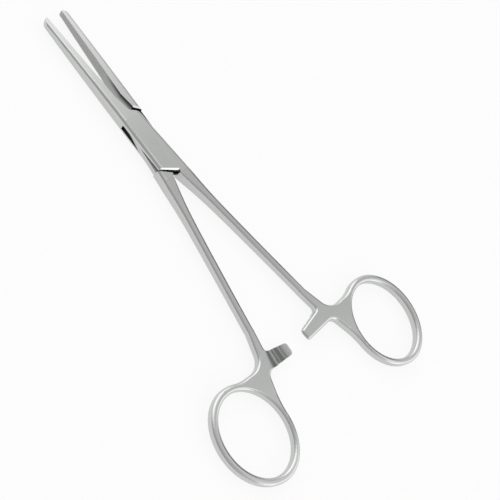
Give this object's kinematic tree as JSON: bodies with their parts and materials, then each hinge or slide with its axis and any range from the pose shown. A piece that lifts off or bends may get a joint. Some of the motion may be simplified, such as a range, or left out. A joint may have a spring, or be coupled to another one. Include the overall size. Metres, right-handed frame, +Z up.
{
  "type": "hemostat forceps",
  "caption": "Straight box-lock hemostat forceps with serrated jaws, slim shanks, oval finger rings and a toothed ratchet, resting slightly open.",
  "frame": {"origin": "foot of the pivot pin's axis on the underside of the box-lock, the face the instrument lies on", "axes": "+Y along the instrument towards the jaw tips, +X towards the right-hand finger ring, +Z up out of the upper side, along the pivot"},
  "size_m": [0.0794, 0.14, 0.0045],
  "materials": {
    "arm_steel": "satin, with polished bevels",
    "pin_steel": "satin, ground flush with the lock"
  },
  "bodies": {
    "female_half": {"female_arm": "arm_steel", "pivot_pin": "pin_steel"},
    "male_half": {"male_arm": "arm_steel"}
  },
  "joints": [
    {"name": "box_lock", "type": "hinge", "parent": "female_half", "child": "male_half", "pos_m": [0, 0, 0.00225], "axis": [0, 0, -1], "range_deg": [-6.1, 54]}
  ]
}
